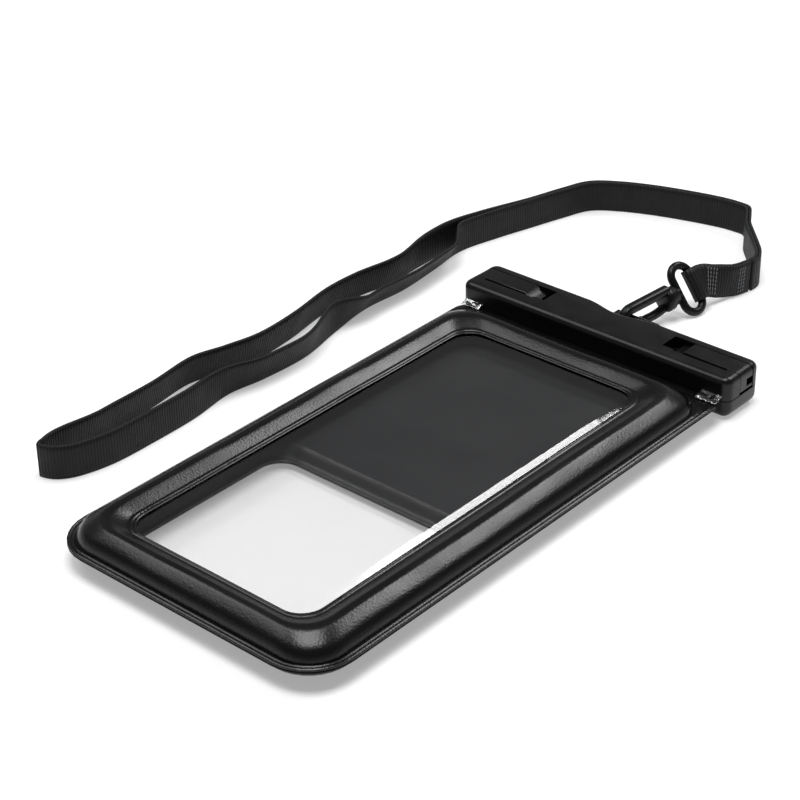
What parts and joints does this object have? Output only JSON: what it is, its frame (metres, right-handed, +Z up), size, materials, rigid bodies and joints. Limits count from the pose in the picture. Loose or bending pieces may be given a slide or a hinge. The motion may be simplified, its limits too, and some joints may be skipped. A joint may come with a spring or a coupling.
{
  "type": "waterproof pouch",
  "caption": "Flat waterproof phone pouch with padded film rims, clear windows, a snap clamp with latch levers, a swivel snap hook and a long folded lanyard.",
  "frame": {"origin": "on the ground, under the middle of the pouch and its clamp", "axes": "+Y along the pouch towards the clamp, +Z up through the front window, +X to the right"},
  "size_m": [0.1553, 0.3206, 0.017],
  "materials": {
    "black_film": "satin, finely pebbled",
    "clear_sheet": "clear glossy film",
    "foam": "soft closed-cell foam",
    "clamp_plastic": "matte moulded plastic",
    "seal_rubber": "matte rubber",
    "pin_steel": "bright pin",
    "webbing": "ribbed woven tape"
  },
  "bodies": {
    "pouch": {"front_panel": "black_film", "front_window": "clear_sheet", "front_rim_foam": "foam", "back_panel": "black_film", "back_pad": "foam", "camera_window": "clear_sheet", "lower_clamp_bar": "clamp_plastic", "seal_strip": "seal_rubber", "lanyard_lead": "webbing", "lanyard_near_strand": "webbing", "lanyard_far_strand": "webbing"},
    "clamp_top": {"upper_clamp_bar": "clamp_plastic", "latch_pin_left": "pin_steel", "latch_pin_right": "pin_steel"},
    "left_lever": {"latch_left": "clamp_plastic"},
    "right_lever": {"latch_right": "clamp_plastic"},
    "hook": {"snap_hook": "clamp_plastic"},
    "gate": {"hook_gate": "clamp_plastic"},
    "eye": {"swivel_eye": "clamp_plastic", "lanyard_end": "webbing"}
  },
  "joints": [
    {"name": "clamp_open", "type": "hinge", "parent": "pouch", "child": "clamp_top", "pos_m": [0, 0.08305, 0.0073], "axis": [1, 0, 0], "range_deg": [0, 40]},
    {"name": "latch_left_open", "type": "hinge", "parent": "clamp_top", "child": "left_lever", "pos_m": [-0.0543, 0.0944, 0.01], "axis": [0, -1, 0], "range_deg": [0, 95]},
    {"name": "latch_right_open", "type": "hinge", "parent": "clamp_top", "child": "right_lever", "pos_m": [0.0543, 0.0944, 0.01], "axis": [0, 1, 0], "range_deg": [0, 95]},
    {"name": "hook_swing", "type": "hinge", "parent": "pouch", "child": "hook", "pos_m": [-0.003, 0.11195, 0.0065], "axis": [1, 0, 0], "range_deg": [-90, 90], "deforming": ["lanyard_lead"]},
    {"name": "gate_open", "type": "hinge", "parent": "hook", "child": "gate", "pos_m": [-0.00034, 0.12871, 0.00463], "axis": [-0.9877, 0.1564, 0], "range_deg": [0, 20], "stiffness_Nm_per_rad": 0.01},
    {"name": "eye_swivel", "type": "hinge", "parent": "hook", "child": "eye", "pos_m": [-0.003, 0.11195, 0.0065], "axis": [0.1561, 0.9853, 0.0698], "continuous": true}
  ]
}
